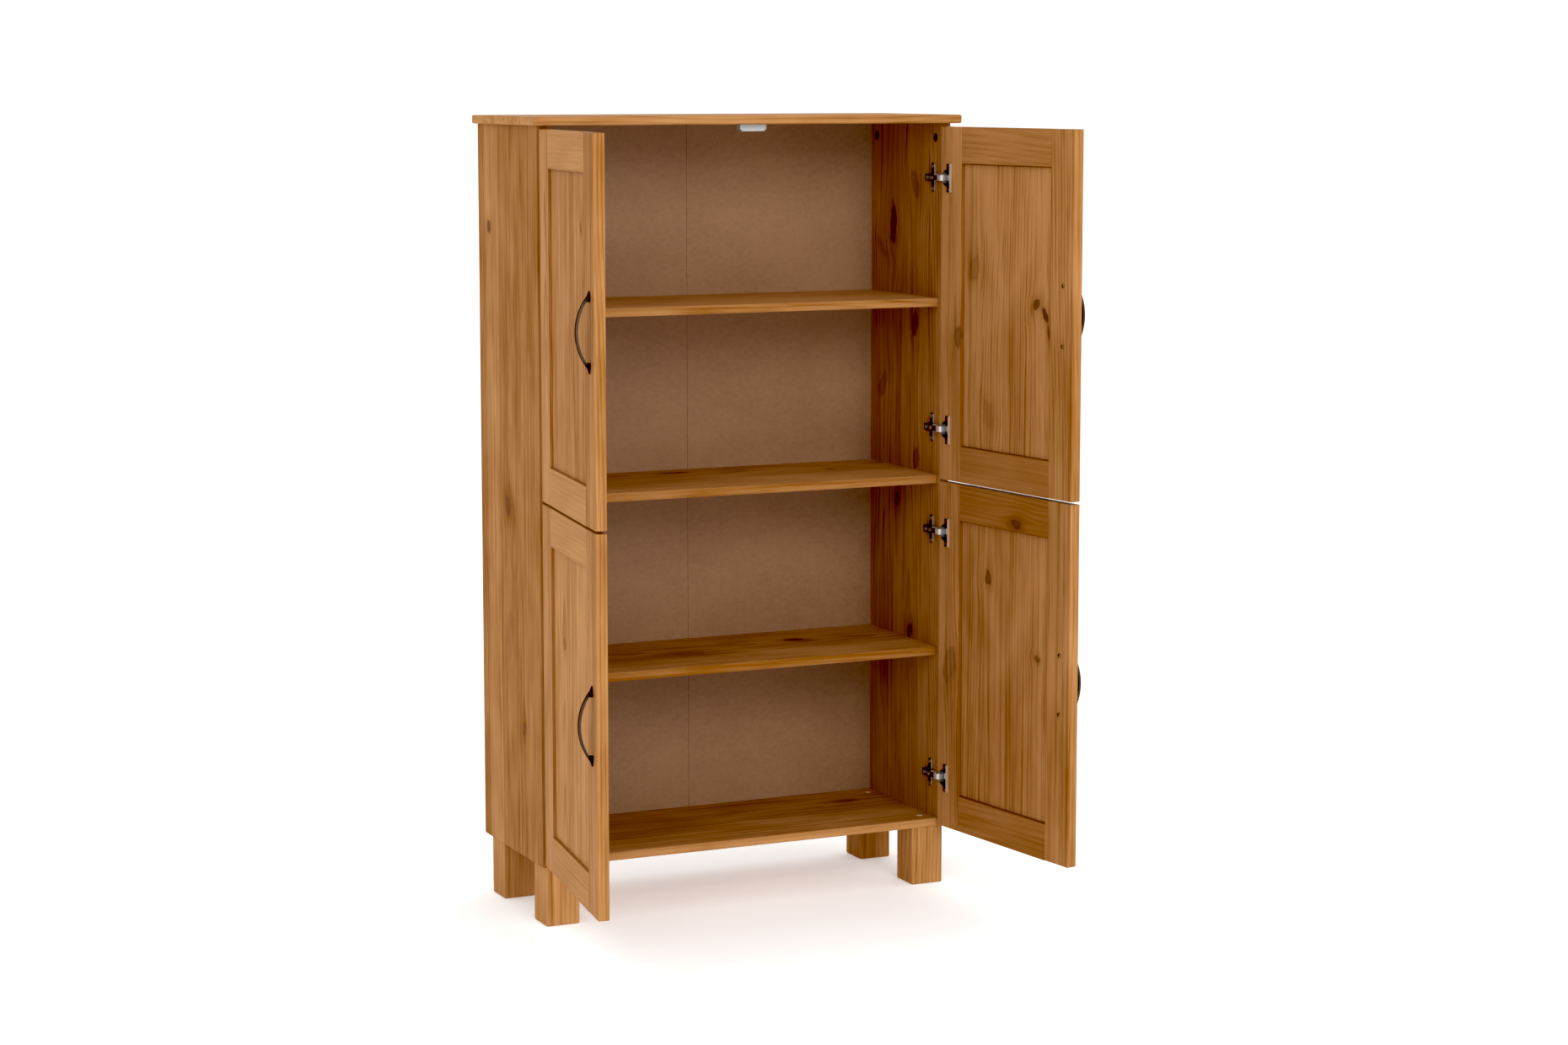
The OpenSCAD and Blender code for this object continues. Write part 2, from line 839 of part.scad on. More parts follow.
module bow() {
    half = handle_pitch / 2 + bow_end;
    drop = handle_rise - foot_h + bow_sink;
    outer_r = (half * half + drop * drop) / (2 * drop);
    taper = (bow_w - bow_end_w) / 2;
    lens_r = (half * half + taper * taper) / (2 * taper);
    intersection() {
        across(2 * bow_w)
            intersection() {
                translate([handle_rise - outer_r, 0])
                    difference() {
                        circle(r = outer_r, $fn = 180);
                        circle(r = outer_r - bow_t, $fn = 180);
                    }
                translate([0, -half - bow_end])
                    square([handle_rise + past, 2 * (half + bow_end)]);
            }
        outward(handle_rise + past)
            lens(bow_w, lens_r);
    }
}

// A foot: a leaf with its point away from the bow, thinning towards the point
module foot() {
    leaf_r = (foot_w / 2 * foot_w / 2 + foot_len * foot_len) / foot_w;
    translate([0, 0, handle_pitch / 2 - foot_start])
        intersection() {
            across(foot_w + past)
                polygon([[0, 0], [foot_h, 0], [foot_tip_h, foot_len], [0, foot_len]]);
            outward(foot_h + past)
                intersection() {
                    lens(foot_w, leaf_r);
                    translate([-foot_w, 0])
                        square([2 * foot_w, foot_len + past]);
                }
        }
}

module handle() {
    color(BRONZE)
        difference() {
            translate([door_w - handle_inset, door_t, door_h / 2]) {
                bow();
                for (turn = [0, 180])
                    rotate([0, turn, 0])
                        foot();
            }
            at_handle_screws()
                translate([0, door_t - past, 0])
                    cylinder_y(handle_screw_d / 2 + seat_play, handle_screw_hold + end_play + past);
        }
}

// The two handle screws and the four screws of the hinge cups
module door_screws() {
    color(BROWN) {
        at_handle_screws()
            rotate([90, 0, 0])
                pan_screw(handle_screw_d, door_t + handle_screw_hold);
        at_hinges()
            for (up = [-1, 1])
                translate([cup_screw_x, -flange_t, up * cup_screw_z])
                    rotate([90, 0, 0])
                        pan_screw(cup_screw_d, cup_screw_len, cup_screw_head_r, cup_screw_head_h);
    }
}

// Hinge cups and their pins

// A flange: a ring with a straight far edge, and an ear at each end that narrows to meet the ring
module flange_outline() {
    half = flange_h / 2;
    ear_x = cup_far - flange_ear_w;
    shoulder = [ear_x - cup_inset, half - flange_ear_l];
    touch = atan2(shoulder[1], shoulder[0]) + acos(cup_r / norm(shoulder));
    translate([cup_inset, 0])
        circle(r = cup_r);
    for (up = [-1, 1])
        polygon([[cup_far, 0], [cup_far, up * half], [ear_x, up * half], [ear_x, up * shoulder[1]],
            [cup_inset + cup_r * cos(touch), up * cup_r * sin(touch)], [cup_inset, 0]]);
}

module hinge_cup() {
    lug_z = hook_w / 2 + lug_gap;
    difference() {
        union() {
            outward_from(-flange_t, flange_t)
                flange_outline();
            translate([cup_far - cup_wall, -flange_rim_h, -flange_h / 2])
                cube([cup_wall, flange_rim_h, flange_h]);
            difference() {
                translate([cup_inset, -flange_t, 0])
                    cylinder_y(cup_r, cup_out_depth + flange_t);
                translate([cup_inset, -flange_t - past, 0])
                    cylinder_y(cup_r - cup_wall, cup_in_depth + flange_t + past);
            }
            intersection() {
                translate([cup_inset, 0, 0])
                    cylinder_y(cup_r, cup_out_depth);
                for (up = [-1, 1])
                    translate([0, pivot_depth - eye_d / 2, up > 0 ? lug_z : -lug_z - lug_t])
                        cube([pivot_inset + eye_d / 2, cup_out_depth, lug_t]);
            }
        }
        translate([cup_inset, -flange_t - past, 0])
            cylinder_y(cup_r - cup_wall, flange_t + past);
        translate([pivot_inset, pivot_depth, -pin_len])
            cylinder(r = pin_d / 2 + seat_play / 2, h = 2 * pin_len);
        for (up = [-1, 1])
            translate([cup_screw_x, -flange_t - past, up * cup_screw_z])
                cylinder_y(cup_screw_d / 2 + seat_play, flange_t + 2 * past);
    }
}

// Extrudes an outline, drawn as width by height, from one depth of the door
module outward_from(depth, t) {
    translate([0, depth, 0])
        outward(t)
            children();
}

module hinge_cups() {
    color(ZINC)
        at_hinges()
            hinge_cup();
}

module hinge_pins() {
    color(ZINC)
        at_hinges()
            translate([pivot_inset, pivot_depth, -pin_len / 2])
                cylinder(d = pin_d, h = pin_len);
}

module door_part(part) {
    if (part == "hinge_stile") hinge_stile();
    if (part == "handle_stile") handle_stile();
    if (part == "top_rail") rail(true);
    if (part == "bottom_rail") rail(false);
    if (part == "panel") door_panel();
    if (part == "handle") handle();
    if (part == "screws") door_screws();
    if (part == "hinge_cups") hinge_cups();
    if (part == "hinge_pins") hinge_pins();
}

side_panel(LEFT);  // side_left
side_panel(RIGHT);  // side_right
top_board();
board(leg_h, 0);  // bottom_board
board(lower_shelf_z, shelf_setback);  // shelf_lower
board(middle_shelf_z, shelf_setback);  // shelf_middle
board(upper_shelf_z, shelf_setback);  // shelf_upper
back_panel(LEFT);  // back_panel_left
back_panel(RIGHT);  // back_panel_right
leg(LEFT, 0);  // leg_front_left
leg(RIGHT, 0);  // leg_front_right
leg(LEFT, 1);  // leg_back_left
leg(RIGHT, 1);  // leg_back_right
leg_screws();
dowels();
cam_locks();
cam_bolts();
back_nails();
door_catch();
wood_screws();
hinge_plates();
hinge_arms();
arm_screws();
for (level = [LOWER, UPPER])
    for (side = [LEFT, RIGHT])
        for (part = DOOR_PARTS)
            door_frame(side, level)
                    door_part(part);
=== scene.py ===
"""A pine cabinet with four open doors, on a pale floor in soft studio light.

Every length is in metres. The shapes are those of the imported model, so this script only softens their
edges, gives them their finishes, and sets up the floor, the lights and the camera.
"""

import json
import math

import bpy
import numpy as np
from mathutils import Matrix, Vector

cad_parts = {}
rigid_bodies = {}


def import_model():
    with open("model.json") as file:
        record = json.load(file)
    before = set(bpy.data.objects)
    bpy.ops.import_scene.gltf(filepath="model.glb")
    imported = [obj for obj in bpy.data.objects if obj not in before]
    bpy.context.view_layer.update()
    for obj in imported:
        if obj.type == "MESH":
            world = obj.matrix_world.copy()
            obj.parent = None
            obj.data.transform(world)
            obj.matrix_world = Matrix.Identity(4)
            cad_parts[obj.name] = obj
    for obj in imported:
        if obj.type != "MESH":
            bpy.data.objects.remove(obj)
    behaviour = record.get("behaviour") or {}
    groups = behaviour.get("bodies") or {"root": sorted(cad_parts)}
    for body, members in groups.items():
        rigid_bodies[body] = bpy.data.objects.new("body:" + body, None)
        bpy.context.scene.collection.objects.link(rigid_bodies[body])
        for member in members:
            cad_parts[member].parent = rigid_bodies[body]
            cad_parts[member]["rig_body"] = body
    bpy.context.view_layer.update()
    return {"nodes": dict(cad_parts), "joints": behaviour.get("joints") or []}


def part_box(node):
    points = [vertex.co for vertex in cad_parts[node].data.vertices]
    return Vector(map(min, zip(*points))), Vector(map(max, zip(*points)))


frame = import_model()

NODES = frame["nodes"]
DOORS = ("lower_left", "lower_right", "upper_left", "upper_right")

# Camera, with the photograph's frame of 1860 by 1240 in mind
CAMERA_AT = (-2.146, -4.758, 1.359)
CAMERA_TURN = 24.684
CAMERA_PITCH = 6.968
CAMERA_LENS = 74.57
CAMERA_SHIFT_Y = -0.03

# Floor and light, with each softbox as (place, watts), and the tone that the picture turns to black
SKY_STRENGTH = 1.08
SOFTBOX_SIZE = 2.4
SOFTBOXES = {"left": ((-3.4, -4.6, 3.2), 40.0), "front": ((0.2, -5.2, 3.0), 112.0)}
BLACK_LEVEL = 0.025
LIGHT_TARGET = (0.0, 0.0, 0.65)
FLOOR_SIZE = 60.0
FLOOR_DROP = 0.0002
FLOOR_GLOW = 0.20
FLOOR_COLOUR = (0.96, 0.96, 0.96, 1)
WHITE = (1, 1, 1, 1)

# Rounding of the boards' outer edges
EDGE_STEPS = 3
FLAT_WEIGHT = 90
TOP_EDGE = 0.003
DOOR_EDGE = 0.0016
BOARD_EDGE = 0.002
ON_PLANE = 2e-5
SHARP_ANGLE = math.radians(40)

# Painted shade where a panel meets its frame: on the panel, and on the frame's inner faces. A door's
# outer half has only a share of it, which changes over a narrow band
GROOVE_SHADE_WIDTH = 0.0022
GROOVE_TONE = 0.9
GROOVE_DARKNESS = 0.6
INNER_EDGE = 0.0012
INNER_EDGE_TONE = 0.9
OUTER_SHADE_SHARE = 0.3
OUTER_BAND = 0.001

# Handles: the dark patina of their feet, and how far the lighter colour of the bow reaches from its middle
PATINA = (0.040, 0.032, 0.027, 1)
BOW_COLOUR = (0.085, 0.060, 0.044, 1)
RIM_TINT = (0.40, 0.30, 0.23, 1)
BOW_REACH = 0.050
BOW_FADE = 0.012

# Hinge arms: how far the painted highlight on the hook reaches back from its front
HOOK_REACH = 0.0135
HOOK_FADE = 0.001

# How squarely a surface has to face an axis: from where it counts, and from where it counts in full
FACING = (0.55, 0.90)

# Pine: its staves, and its rings round a pith that lies beside and behind the middle of each stave
STAVE_WIDTH = 0.072
STAVE_RANDOMNESS = 0.6
SEAM_EDGE = (0.016, 0.004)
RING_WIDTH = 0.0062
LATE_RISE = (0.30, 0.90)
LATE_FALL = (1.0, 0.92)
PITH_ASIDE = 0.18
PITH_DEPTH = 0.014
PITH_DEPTH_SPREAD = 0.05
PITH_SLOPE = 0.10
DRIFT_ASIDE = 0.03
DRIFT_DEEP = 0.02
SWAY = 0.012
FIRST_SEED = 0.37
SEED_STEP = 3.7

# Pine: the scales of its noises across, through and along a board, in waves per metre
DRIFT_SCALES = (40, 0, 1.7)
SWAY_SCALES = (16, 16, 2.6)
STREAK_SCALES = (120, 120, 2.0)
FIBRE_SCALES = (620, 620, 16)
CLOUD_SCALES = (11, 11, 3.5)
BLOTCH_SCALES = (34, 34, 10)
RAGGED_SCALES = (90, 0, 45)

# Pine: its colours, and how much each part of its figure darkens it
EARLY_WOOD = (0.450, 0.230, 0.096, 1)
LATE_WOOD = (0.214, 0.084, 0.020, 1)
KNOT_HEART = (0.130, 0.053, 0.026, 1)
KNOT_RIM = (0.066, 0.032, 0.022, 1)
MEAN_DARKNESS = 0.25
LATE_DARKNESS = 0.12
LATE_DARKNESS_SPREAD = 0.45
STREAK_DARKNESS = 1.3
FIBRE_DARKNESS = 0.5
CLOUD_DARKNESS = 0.7
BLOTCH_DARKNESS = 0.7
STAVE_DARKNESS = 0.3
SEAM_DARKNESS = 0.15
HALO_DARKNESS = 0.55
RAIL_CONTRAST = 0.45
# painted shade on the shelves' front edges
SHELF_EDGE_SHADE = 0.65

# Knots, with distances in radii: their outline, their pull on the grain, and the halo round them
RAGGED = 1.5
HEART_EDGE = (1.2, 0.7)
RIM_EDGE = (0.45, 1.0)
RIM_SHARE = 0.7
PULL_FADE = 0.14
PULL = 0.65
LEAST_PULL = 0.20
HALO_FADE = 0.28
HALO = 0.7
LEAST_HALO = 0.25

# Other finishes: the two colours that each varies between, and the flecks of the hardboard
HARDBOARD = ((0.245, 0.134, 0.072, 1), (0.318, 0.182, 0.102, 1))
HARDBOARD_FLECK = (0.150, 0.082, 0.046, 1)
BEECH = ((0.70, 0.50, 0.32, 1), (0.52, 0.33, 0.19, 1))
# lit and shaded colours of the hinge steel: painted highlight and painted shade
LIT_STEEL = ((0.66, 0.61, 0.58, 1), (0.52, 0.47, 0.44, 1))
SHADED_STEEL = ((0.080, 0.058, 0.048, 1), (0.048, 0.034, 0.027, 1))
ZINC = ((0.62, 0.60, 0.57, 1), (0.48, 0.46, 0.44, 1))
BROWNED_STEEL = ((0.36, 0.22, 0.10, 1), (0.20, 0.12, 0.05, 1))
# yellow zinc, lightened into a painted highlight on the heads of the leg screws
YELLOW_ZINC_AND_HIGHLIGHT = ((0.85, 0.66, 0.45, 1), (0.70, 0.52, 0.34, 1))
BROWN_PLASTIC = ((0.060, 0.026, 0.014, 1), (0.040, 0.016, 0.008, 1))
WHITE_PLASTIC = ((0.46, 0.48, 0.48, 1), (0.41, 0.43, 0.43, 1))

# The part of a noise's range that is spread over a finish
NARROW = (0.3, 0.7)
WIDE = (0.2, 0.8)

# Bumps as (height, strength)
PINE_BUMP = (0.0004, 0.25)
HARDBOARD_BUMP = (0.0004, 0.3)
BEECH_BUMP = (0.0002, 0.2)
METAL_BUMP = (0.0002, 0.15)
PLASTIC_BUMP = (0.0001, 0.1)


# Node helpers

def add(tree, kind, inputs=(), **settings):
    """Adds a node. Inputs go by place or by name, each a number, a tuple or another node's output."""
    node = tree.nodes.new(kind)
    for name, value in settings.items():
        setattr(node, name, value)
    pairs = inputs.items() if isinstance(inputs, dict) else enumerate(inputs)
    for key, value in pairs:
        if isinstance(value, bpy.types.NodeSocket):
            tree.links.new(value, node.inputs[key])
        elif value is not None:
            node.inputs[key].default_value = value
    return node


def calc(tree, operation, *values):
    return add(tree, "ShaderNodeMath", values, operation=operation).outputs[0]


def spread(tree, value, width):
    """Turns 0..1 into a range of this width, with 0 in its middle."""
    return calc(tree, "MULTIPLY_ADD", value, width, -width / 2)


def bell(tree, distance, fade):
    """One at no distance, and fading away in every direction."""
    square = calc(tree, "POWER", distance, 2.0)
    return calc(tree, "EXPONENT", calc(tree, "MULTIPLY", square, -fade))


def ramp(tree, value, low, high, to_low=0.0, to_high=1.0):
    """Maps low..high smoothly to to_low..to_high."""
    inputs = {"Value": value, "From Min": low, "From Max": high, "To Min": to_low, "To Max": to_high}
    return add(tree, "ShaderNodeMapRange", inputs, interpolation_type="SMOOTHSTEP").outputs[0]


def noise(tree, vector, scales, detail=2.0, roughness=0.5):
    """Noise whose size along each axis is set by its own scale."""
    scaled = add(tree, "ShaderNodeVectorMath", [vector, scales], operation="MULTIPLY").outputs[0]
    inputs = {"Vector": scaled, "Scale": 1.0, "Detail": detail, "Roughness": roughness}
    return add(tree, "ShaderNodeTexNoise", inputs).outputs[0]


def mix(tree, factor, a, b):
    """Colour a where the factor is 0, and colour b where it is 1."""
    inputs = {"Factor": factor, 6: a, 7: b}
    return add(tree, "ShaderNodeMix", inputs, data_type="RGBA").outputs[2]


def group(name, inputs, outputs):
    """A node group with typed sockets, and its two end nodes."""
    tree = bpy.data.node_groups.new(name, "ShaderNodeTree")
    for title, kind in inputs:
        tree.interface.new_socket(title, in_out="INPUT", socket_type="NodeSocket" + kind)
    for title, kind in outputs:
        tree.interface.new_socket(title, in_out="OUTPUT", socket_type="NodeSocket" + kind)
    return tree, tree.nodes.new("NodeGroupInput").outputs, tree.nodes.new("NodeGroupOutput").inputs


def material(name, **constants):
    """A material, its tree and its shader, whose plain numbers are set on its own sockets."""
    made = bpy.data.materials.new(name)
    made.use_nodes = True
    tree = made.node_tree
    shader = tree.nodes["Principled BSDF"]
    for title, value in constants.items():
        shader.inputs[title.replace("_", " ")].default_value = value
    return made, tree, shader


def bump(tree, shader, height, distance, strength):
    inputs = {"Height": height, "Distance": distance, "Strength": strength}
    tree.links.new(add(tree, "ShaderNodeBump", inputs).outputs[0], shader.inputs["Normal"])


# Places of the doors

def joint_of(node):
    """The joint that a node swings on, or None for the carcass."""
    body = NODES[node]["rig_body"]
    return next((joint for joint in frame["joints"] if joint["child"] == body), None)


def closing(node):
    """The matrix that takes a node from its open place at rest to its closed one."""
    joint = joint_of(node)
    if joint is None:
        return Matrix.Identity(4)
    pin = Vector(joint["pos_m"])
    turn = Matrix.Rotation(math.radians(joint["range_deg"][0]), 4, Vector(joint["axis"]))
    return Matrix.Translation(pin) @ turn @ Matrix.Translation(-pin)


def closed_points(node):
    """A node's points, with its door closed."""
    mesh = NODES[node].data
    points = np.zeros(len(mesh.vertices) * 3)
    mesh.vertices.foreach_get("co", points)
    matrix = np.array(closing(node))
    return points.reshape(-1, 3) @ matrix[:3, :3].T + matrix[:3, 3]


# Softened edges, with the faces of each board that other boards cover

COVERED = {"side_left": ("+z",), "side_right": ("+z",), "top_board": ()}
for board in ("bottom_board", "shelf_lower", "shelf_middle", "shelf_upper"):
    COVERED[board] = ("-x", "+x", "+y")
for corner in ("front_left", "front_right", "back_left", "back_right"):
    COVERED["leg_" + corner] = ("+z",)
for door in DOORS:
    inward, outer = ("+x", "-x") if "left" in door else ("-x", "+x")
    COVERED[door + "_hinge_stile"] = (inward,)
    COVERED[door + "_handle_stile"] = (outer,)
    COVERED[door + "_top_rail"] = ("-x", "+x", "-z")
    COVERED[door + "_bottom_rail"] = ("-x", "+x", "+z")


def shading_group():
    """Keeps edges that turn more than SHARP_ANGLE sharp, and shades everything else smooth."""
    tree = bpy.data.node_groups.new("shade by angle", "GeometryNodeTree")
    for way in ("INPUT", "OUTPUT"):
        tree.interface.new_socket("Geometry", in_out=way, socket_type="NodeSocketGeometry")
    given = tree.nodes.new("NodeGroupInput").outputs[0]
    angle = tree.nodes.new("GeometryNodeInputMeshEdgeAngle").outputs[0]
    soft = add(tree, "FunctionNodeCompare", [angle, SHARP_ANGLE], operation="LESS_THAN").outputs[0]
    faces = add(tree, "GeometryNodeSetShadeSmooth", [given, True, True])
    edges = add(tree, "GeometryNodeSetShadeSmooth", [faces.outputs[0], True, soft], domain="EDGE")
    tree.links.new(edges.outputs[0], tree.nodes.new("NodeGroupOutput").inputs[0])
    return tree


def soften(node, radius):
    """Rounds the edges between a board's outer faces, apart from faces that other boards cover."""
    obj = NODES[node]
    points = closed_points(node)
    faces = {}
    for axis, letter in enumerate("xyz"):
        faces["-" + letter] = np.abs(points[:, axis] - points[:, axis].min()) < ON_PLANE
        faces["+" + letter] = np.abs(points[:, axis] - points[:, axis].max()) < ON_PLANE
    ends = np.zeros(len(obj.data.edges) * 2, int)
    obj.data.edges.foreach_get("vertices", ends)
    ends = ends.reshape(-1, 2)
    free = sum(
        (on[ends[:, 0]] & on[ends[:, 1]]).astype(int)
        for face, on in faces.items() if face not in COVERED[node]
    )
    weights = obj.data.attributes.new("bevel_weight_edge", "FLOAT", "EDGE")
    weights.data.foreach_set("value", (free == 2).astype(np.float32))
    weld = obj.modifiers.new("weld", "WELD")
    weld.merge_threshold = ON_PLANE / 2
    bevel = obj.modifiers.new("soft edges", "BEVEL")
    bevel.limit_method = "WEIGHT"
    bevel.width = radius
    bevel.segments = EDGE_STEPS
    bevel.use_clamp_overlap = False
    obj.modifiers.new("shading", "NODES").node_group = shading_tree
    flat = obj.modifiers.new("flat faces", "WEIGHTED_NORMAL")
    flat.keep_sharp = True
    flat.weight = FLAT_WEIGHT


def soften_boards():
    for node in COVERED:
        if node == "top_board":
            soften(node, TOP_EDGE)
        elif node.startswith(DOORS):
            soften(node, DOOR_EDGE)
        else:
            soften(node, BOARD_EDGE)


# Pine

def knot_group():
    """Bends the grain round one knot, and marks its heart, its rim and the darker wood round it."""
    fields = [("Heart", "Float"), ("Rim", "Float"), ("Halo", "Float")]
    tree, given, result = group(
        "knot",
        [("Board", "Vector"), ("Flow", "Vector"), *fields, ("Centre", "Vector"), ("Radius", "Float"),
            ("Stretch", "Float"), ("Lean", "Float"), ("Strength", "Float")],
        [("Flow", "Vector"), *fields],
    )
    offset = add(tree, "ShaderNodeVectorMath", [given["Board"], given["Centre"]], operation="SUBTRACT")
    rough = noise(tree, given["Board"], RAGGED_SCALES, detail=3.0)
    wobble = calc(tree, "MULTIPLY", calc(tree, "SUBTRACT", rough, 0.5), RAGGED)
    turned = add(tree, "ShaderNodeVectorRotate", {"Vector": offset.outputs[0], "Angle": given["Lean"]},
        rotation_type="Y_AXIS")
    parts = add(tree, "ShaderNodeSeparateXYZ", [turned.outputs[0]]).outputs
    long = calc(tree, "DIVIDE", parts[2], given["Stretch"])
    square = calc(tree, "ADD", calc(tree, "POWER", parts[0], 2.0), calc(tree, "POWER", long, 2.0))
    apart = calc(tree, "DIVIDE", calc(tree, "SQRT", square), given["Radius"])
    apart = calc(tree, "ADD", apart, wobble)
    across = add(tree, "ShaderNodeSeparateXYZ", [offset.outputs[0]]).outputs[0]
    pull = calc(tree, "MULTIPLY_ADD", given["Strength"], -PULL, -LEAST_PULL)
    push = calc(tree, "MULTIPLY", calc(tree, "MULTIPLY", across, bell(tree, apart, PULL_FADE)), pull)
    shove = add(tree, "ShaderNodeCombineXYZ", [push]).outputs[0]
    flow = add(tree, "ShaderNodeVectorMath", [given["Flow"], shove], operation="ADD").outputs[0]
    heart = calc(tree, "MULTIPLY", ramp(tree, apart, *HEART_EDGE), given["Strength"])
    rim = calc(tree, "MULTIPLY", heart, ramp(tree, apart, *RIM_EDGE, 0.0, RIM_SHARE))
    shade = calc(tree, "MULTIPLY_ADD", given["Strength"], HALO, LEAST_HALO)
    halo = calc(tree, "MULTIPLY", bell(tree, apart, HALO_FADE), shade)
    tree.links.new(flow, result["Flow"])
    for title, field in (("Heart", heart), ("Rim", rim), ("Halo", halo)):
        tree.links.new(calc(tree, "MAXIMUM", given[title], field), result[title])
    return tree


def ring_field(tree, given, cell):
    """How far each point lies from one latewood line to the next, and the random picks of its stave."""
    pick = add(tree, "ShaderNodeSeparateColor", [cell.outputs["Color"]]).outputs
    flow = add(tree, "ShaderNodeSeparateXYZ", [given["Flow"]]).outputs
    middle = calc(tree, "MULTIPLY", calc(tree, "SUBTRACT", cell.outputs["W"], given["Seed"]), STAVE_WIDTH)
    lane = add(tree, "ShaderNodeCombineXYZ", [middle, 0.0, flow[2]]).outputs[0]
    drift = noise(tree, lane, DRIFT_SCALES, detail=1.0)
    sway = noise(tree, given["Flow"], SWAY_SCALES, detail=2.0)
    side = calc(tree, "SUBTRACT", flow[0], middle)
    for value, width in ((pick[0], PITH_ASIDE), (drift, DRIFT_ASIDE), (sway, SWAY)):
        side = calc(tree, "ADD", side, spread(tree, value, width))
    deep = calc(tree, "MULTIPLY_ADD", pick[1], PITH_DEPTH_SPREAD, PITH_DEPTH)
    deep = calc(tree, "MULTIPLY_ADD", flow[2], spread(tree, pick[2], PITH_SLOPE), deep)
    deep = calc(tree, "ADD", deep, flow[1])
    deep = calc(tree, "ADD", deep, spread(tree, drift, DRIFT_DEEP))
    square = calc(tree, "ADD", calc(tree, "POWER", side, 2.0), calc(tree, "POWER", deep, 2.0))
    reach = calc(tree, "SQRT", square)
    return calc(tree, "FRACT", calc(tree, "DIVIDE", reach, RING_WIDTH)), pick


def pine_group():
    """Stained pine as a solid: staves with rings of their own, fibres, soft blotches and knots."""
    tree, given, result = group(
        "pine",
        [("Board", "Vector"), ("Flow", "Vector"), ("Heart", "Float"), ("Rim", "Float"), ("Halo", "Float"),
            ("Seed", "Float"), ("Contrast", "Float"), ("Tone", "Float")],
        [("Color", "Color"), ("Roughness", "Float"), ("Height", "Float")],
    )
    across = add(tree, "ShaderNodeSeparateXYZ", [given["Board"]]).outputs[0]
    place = calc(tree, "ADD", calc(tree, "DIVIDE", across, STAVE_WIDTH), given["Seed"])
    stave = {"W": place, "Scale": 1.0, "Randomness": STAVE_RANDOMNESS}
    cell = add(tree, "ShaderNodeTexVoronoi", stave, voronoi_dimensions="1D")
    edge = add(tree, "ShaderNodeTexVoronoi", stave, voronoi_dimensions="1D", feature="DISTANCE_TO_EDGE")
    seam = ramp(tree, edge.outputs[0], *SEAM_EDGE)
    phase, pick = ring_field(tree, given, cell)
    streaks = noise(tree, given["Flow"], STREAK_SCALES, detail=3.0, roughness=0.6)
    fibres = noise(tree, given["Flow"], FIBRE_SCALES, detail=3.0, roughness=0.6)
    clouds = noise(tree, given["Flow"], CLOUD_SCALES, detail=2.0)
    blotches = noise(tree, given["Flow"], BLOTCH_SCALES, detail=2.0)
    line = calc(tree, "MULTIPLY", ramp(tree, phase, *LATE_RISE), ramp(tree, phase, *LATE_FALL))
    late = calc(tree, "MULTIPLY", line, ramp(tree, streaks, 0.25, 0.75, 0.35, 1.0))
    strong = calc(tree, "MULTIPLY_ADD", pick[2], LATE_DARKNESS_SPREAD, LATE_DARKNESS)
    dark = calc(tree, "MULTIPLY", late, strong)
    fields = ((streaks, STREAK_DARKNESS), (fibres, FIBRE_DARKNESS), (clouds, CLOUD_DARKNESS),
        (blotches, BLOTCH_DARKNESS), (pick[1], STAVE_DARKNESS))
    for field, amount in fields:
        dark = calc(tree, "ADD", dark, spread(tree, field, amount))
    dark = calc(tree, "MULTIPLY_ADD", dark, given["Contrast"], MEAN_DARKNESS)
    dark = calc(tree, "ADD", dark, calc(tree, "MULTIPLY", seam, SEAM_DARKNESS))
    dark = calc(tree, "ADD", dark, calc(tree, "MULTIPLY", given["Halo"], HALO_DARKNESS))
    dark = calc(tree, "ADD", dark, given["Tone"])
    wood = mix(tree, add(tree, "ShaderNodeClamp", [dark]).outputs[0], EARLY_WOOD, LATE_WOOD)
    wood = mix(tree, given["Heart"], wood, KNOT_HEART)
    wood = mix(tree, given["Rim"], wood, KNOT_RIM)
    tree.links.new(wood, result["Color"])
    tree.links.new(ramp(tree, fibres, *WIDE, 0.36, 0.52), result["Roughness"])
    tree.links.new(calc(tree, "ADD", calc(tree, "MULTIPLY", late, 0.5), fibres), result["Height"])
    return tree


# Boards that are lighter (below 0) or darker than the rest
TONES = {
    "side_left": 0.22, "side_right": 0.0, "top_board": -0.05,
    "shelf_upper": -0.33, "shelf_middle": -0.08, "shelf_lower": 0.1, "bottom_board": 0.1,
    "leg_front_left": -0.3, "leg_front_right": -0.05, "leg_back_left": -0.05, "leg_back_right": 0.3,
    "upper_right_hinge_stile": -0.32, "upper_right_panel": -0.13, "upper_right_handle_stile": 0.05,
    "upper_right_top_rail": 0.18, "upper_right_bottom_rail": 0.30, "lower_left_panel": -0.1,
    "upper_left_handle_stile": 0.30, "upper_left_panel": 0.10,
    "lower_right_top_rail": 0.45, "lower_right_bottom_rail": 0.4, "lower_right_panel": 0.08,
    "lower_right_hinge_stile": 0.02,
}

